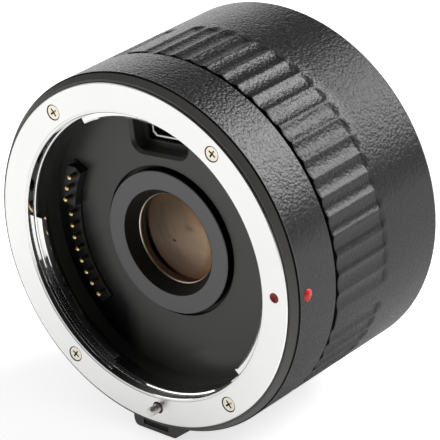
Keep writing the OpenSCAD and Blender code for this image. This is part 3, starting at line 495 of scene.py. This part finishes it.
def add_spring(node, beside, joint):
    """A copy of the part of the spring beside a moving piece, which stays with the housing."""
    box = [nodes[beside].matrix_world @ Vector(corner) for corner in nodes[beside].bound_box]
    middle = sum(box, Vector()) / len(box)
    mesh = nodes[node].data.copy()
    cut = bmesh.new()
    cut.from_mesh(mesh)
    others = [v for v in cut.verts if math.hypot(v.co.x - middle.x, v.co.z - middle.z) > SPRING_REACH]
    bmesh.ops.delete(cut, geom=others, context="VERTS")
    cut.to_mesh(mesh)
    cut.free()
    spring = bpy.data.objects.new(joint + "_spring", mesh)
    bpy.context.scene.collection.objects.link(spring)
    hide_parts(node)
    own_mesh(spring)
    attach(spring, "housing")


def add_springs():
    """Springs of the contact pins and of the lens release."""
    for number in range(1, PIN_COUNT + 1):
        add_spring("contact_springs", f"contact_pin_{number}", f"pin_{number}_slide")
    add_spring("release_spring", "lock_pin", "release_slide")


def add_floor(level):
    """A wide pale floor with its own glow, seen also in reflections; close to the part the glow fades as a
    painted shadow.
    """
    corners = [(sx * FLOOR_HALF, sy * FLOOR_HALF) for sx, sy in ((-1, -1), (1, -1), (1, 1), (-1, 1))]
    mesh = bpy.data.meshes.new("floor")
    mesh.from_pydata([(x, y, level) for x, y in corners], [], [(0, 1, 2, 3)])
    floor = bpy.data.objects.new("floor", mesh)
    bpy.context.scene.collection.objects.link(floor)
    f = Finish("floor")
    path = f.add("LightPath").outputs
    in_mirror = f.maths("MAXIMUM", path["Is Glossy Ray"], path["Is Transmission Ray"])
    # Painted reflection: in reflections the floor is greyer and shows its own glow, brighter in front of the
    # part than behind it; both glows fade close to the part as painted shadow.
    open_floor = f.hollows(FLOOR_SHADE)
    front = f.remap(f.axis_y(), FLOOR_FRONT_Y, FLOOR_BACK_Y, 1.0, 0.0)
    front = f.maths("MULTIPLY", front, f.remap(open_floor, 0.0, 0.9, 0.0, FLOOR_GLOW))
    back = f.remap(f.axis_y(), FLOOR_FRONT_Y, FLOOR_BACK_Y, 0.0, 1.0)
    open_back = f.remap(f.hollows(2 * FLOOR_SHADE), *FLOOR_BACK_OPEN, 0.0, FLOOR_BACK_GLOW)
    back = f.maths("MULTIPLY", back, open_back)
    mirrored = f.maths("MULTIPLY", in_mirror, f.maths("ADD", front, back))
    # Painted shadow: the glow that the camera sees is dimmer close to the part.
    near = f.remap(open_floor, 0.0, 0.9, FLOOR_SHADOW_GLOW, FLOOR_GLOW)
    seen = f.maths("MULTIPLY", path["Is Camera Ray"], near)
    paper = f.blend(f.noise(3, 2.0), FLOOR_COLOUR, grey(0.88))
    shade = f.add("BsdfDiffuse", {"Color": f.blend(in_mirror, paper, grey(FLOOR_MIRRORED))})
    glow = f.add("Emission", {"Strength": f.maths("MAXIMUM", seen, mirrored)})
    both = f.add("AddShader", {0: shade.outputs[0], 1: glow.outputs[0]})
    f.links.new(both.outputs[0], f.nodes["Material Output"].inputs["Surface"])
    f.nodes.remove(f.shader)
    mesh.materials.append(f.material)


def add_room():
    """Pale room: white at the horizon, darker overhead, with one dark corner."""
    world = bpy.data.worlds.new("room")
    bpy.context.scene.world = world
    world.use_nodes = True
    tree = world.node_tree

    def fade(value, low, high, to_low, to_high):
        node = tree.nodes.new("ShaderNodeMapRange")
        node.interpolation_type = "SMOOTHSTEP"
        for number, level in enumerate((low, high, to_low, to_high), 1):
            node.inputs[number].default_value = level
        tree.links.new(value, node.inputs[0])
        return node.outputs[0]

    ray = tree.nodes.new("ShaderNodeTexCoord").outputs["Generated"]
    split = tree.nodes.new("ShaderNodeSeparateXYZ")
    tree.links.new(ray, split.inputs[0])
    height = fade(split.outputs["Z"], HORIZON_TOP, OVERHEAD_FROM, HORIZON_LEVEL, OVERHEAD_LEVEL)
    toward = tree.nodes.new("ShaderNodeVectorMath")
    toward.operation = "DOT_PRODUCT"
    toward.inputs[1].default_value = DARK_CORNER.normalized()
    tree.links.new(ray, toward.inputs[0])
    corner = fade(toward.outputs["Value"], CORNER_FROM, CORNER_FULL, 1.0, CORNER_LEVEL)
    level = tree.nodes.new("ShaderNodeMath")
    level.operation = "MULTIPLY"
    tree.links.new(height, level.inputs[0])
    tree.links.new(corner, level.inputs[1])
    tree.links.new(level.outputs[0], tree.nodes["Background"].inputs["Strength"])


def add_lamp(name, way, distance, size, power):
    """A square soft lamp that stands in a direction from the part and faces it."""
    lamp = bpy.data.lights.new(name, "AREA")
    lamp.size = size
    lamp.energy = power
    holder = bpy.data.objects.new(name, lamp)
    bpy.context.scene.collection.objects.link(holder)
    toward = Vector(way).normalized()
    holder.location = toward * distance
    holder.rotation_euler = toward.to_track_quat("Z", "Y").to_euler()


def add_camera():
    """The camera at the photograph's viewing angle."""
    lens = bpy.data.cameras.new("camera")
    lens.sensor_fit = "HORIZONTAL"
    lens.angle = FIELD_OF_VIEW
    lens.clip_start = 0.01
    holder = bpy.data.objects.new("camera", lens)
    turn = Matrix((CAMERA_RIGHT, CAMERA_UP, CAMERA_BACK)).transposed()
    holder.matrix_world = Matrix.Translation(CAMERA_AT) @ turn.to_4x4()
    bpy.context.scene.collection.objects.link(holder)
    bpy.context.scene.camera = holder


dress_nodes()
add_springs()
add_floor(cad_box[0][2])
add_room()
add_lamp("key_lamp", (0.4, 0.69, 0.6), distance=0.9, size=0.65, power=9.5)
add_lamp("left_lamp", (-0.8, -0.55, 0.35), distance=1.0, size=0.6, power=2.0)
add_lamp("back_lamp", (-0.72, 0.68, 0.1), distance=1.0, size=0.5, power=1.1)
add_camera()
bpy.context.scene.view_settings.view_transform = "Standard"
